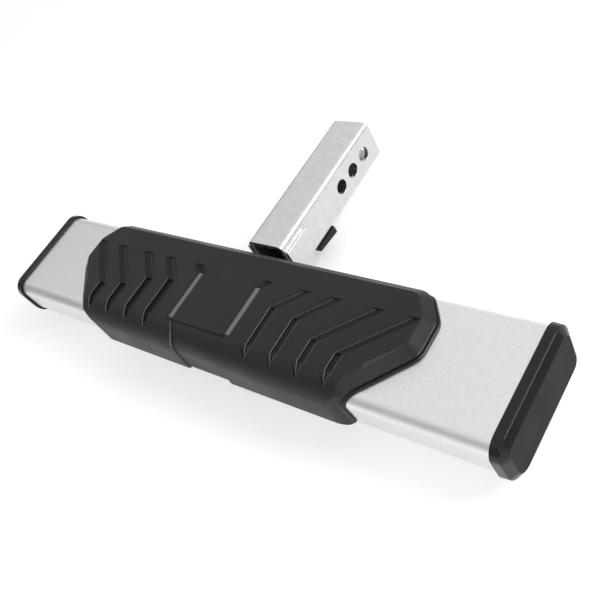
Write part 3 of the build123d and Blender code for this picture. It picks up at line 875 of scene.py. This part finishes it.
deselect()
bpy.ops.mesh.primitive_plane_add(size=FLOOR_SIZE, location=(0, 0, cad_low.z))
floor = bpy.context.object
floor.name = "floor"
material, tree = new_material("white_floor")
path = add_node(tree, "ShaderNodeLightPath", {})
seen = add_node(tree, "ShaderNodeMath", {
    0: path.outputs["Is Camera Ray"], 1: path.outputs["Is Glossy Ray"],
}, operation="ADD")
seen = add_node(tree, "ShaderNodeMath", {
    0: seen.outputs["Value"], 1: path.outputs["Is Transmission Ray"],
}, operation="ADD", use_clamp=True)
lift = add_node(tree, "ShaderNodeMath", {0: seen.outputs["Value"], 1: FLOOR_LIFT}, operation="MULTIPLY")
shader = add_node(tree, "ShaderNodeBsdfPrincipled", {
    "Base Color": linear(FLOOR_WHITE), "Roughness": FLOOR_ROUGHNESS, "Specular IOR Level": 0.0,
    "Emission Color": linear(STUDIO_WHITE), "Emission Strength": lift.outputs["Value"],
})
add_node(tree, "ShaderNodeOutputMaterial", {"Surface": shader.outputs["BSDF"]})
floor.data.materials.append(material)
floor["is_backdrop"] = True

world = bpy.data.worlds.new("studio")
bpy.context.scene.world = world
world.use_nodes = True
tree = world.node_tree
tree.nodes.clear()
path = add_node(tree, "ShaderNodeLightPath", {})
way = add_node(tree, "ShaderNodeTexCoord", {}).outputs["Generated"]
way = add_node(tree, "ShaderNodeSeparateXYZ", {"Vector": way})
walls = add_node(tree, "ShaderNodeMapRange", {
    "Value": way.outputs["Y"], "From Min": BACKDROP_SIDES[0], "From Max": BACKDROP_SIDES[1],
    "To Min": WALL_SHEEN, "To Max": BACKDROP_SHEEN,
}, interpolation_type="SMOOTHSTEP")
walls = add_node(tree, "ShaderNodeMapRange", {
    "Value": way.outputs["Y"], "From Min": FRONT_SIDES[0], "From Max": FRONT_SIDES[1],
    "To Min": walls.outputs["Result"], "To Max": FRONT_SHEEN,
}, interpolation_type="SMOOTHSTEP")
front = add_node(tree, "ShaderNodeMath", {0: way.outputs["Y"], 1: 0.0}, operation="MINIMUM")
height = add_node(tree, "ShaderNodeMath", {
    0: front.outputs["Value"], 1: FRONT_RISE, 2: way.outputs["Z"],
}, operation="MULTIPLY_ADD")
room = add_node(tree, "ShaderNodeMapRange", {
    "Value": height.outputs["Value"], "From Min": WALL_HEIGHTS[0], "From Max": WALL_HEIGHTS[1],
    "To Min": walls.outputs["Result"], "To Max": CEILING_SHEEN,
}, interpolation_type="SMOOTHSTEP")
sheen = add_node(tree, "ShaderNodeMapRange", {
    "Value": path.outputs["Is Glossy Ray"], "To Min": WORLD_FILL, "To Max": room.outputs["Result"],
})
strength = add_node(tree, "ShaderNodeMapRange", {
    "Value": path.outputs["Is Camera Ray"], "To Min": sheen.outputs["Result"], "To Max": 1.0,
})
background = add_node(tree, "ShaderNodeBackground", {
    "Color": linear(STUDIO_WHITE), "Strength": strength.outputs["Result"],
})
add_node(tree, "ShaderNodeOutputWorld", {"Surface": background.outputs["Background"]})

aim = Vector((0, bar_middle_y, 0))
for name, (direction, distance, size, power) in LAMPS.items():
    lamp = bpy.data.lights.new(name, "AREA")
    lamp.shape = "SQUARE"
    lamp.size = size
    lamp.energy = power
    holder = bpy.data.objects.new(name, lamp)
    holder.location = aim + direction.normalized() * distance
    holder.rotation_euler = (-direction).to_track_quat("-Z", "Y").to_euler()
    bpy.context.scene.collection.objects.link(holder)

camera = bpy.data.objects.new("camera", bpy.data.cameras.new("camera"))
camera.data.lens = CAMERA_LENS
camera.data.clip_start = CAMERA_NEAR
turn = Matrix((CAMERA_RIGHT, CAMERA_UP, CAMERA_BACK)).transposed().to_4x4()
camera.matrix_world = Matrix.Translation(CAMERA_PLACE) @ turn
bpy.context.scene.collection.objects.link(camera)
bpy.context.scene.camera = camera
bpy.context.scene.view_settings.view_transform = "Standard"

low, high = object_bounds()
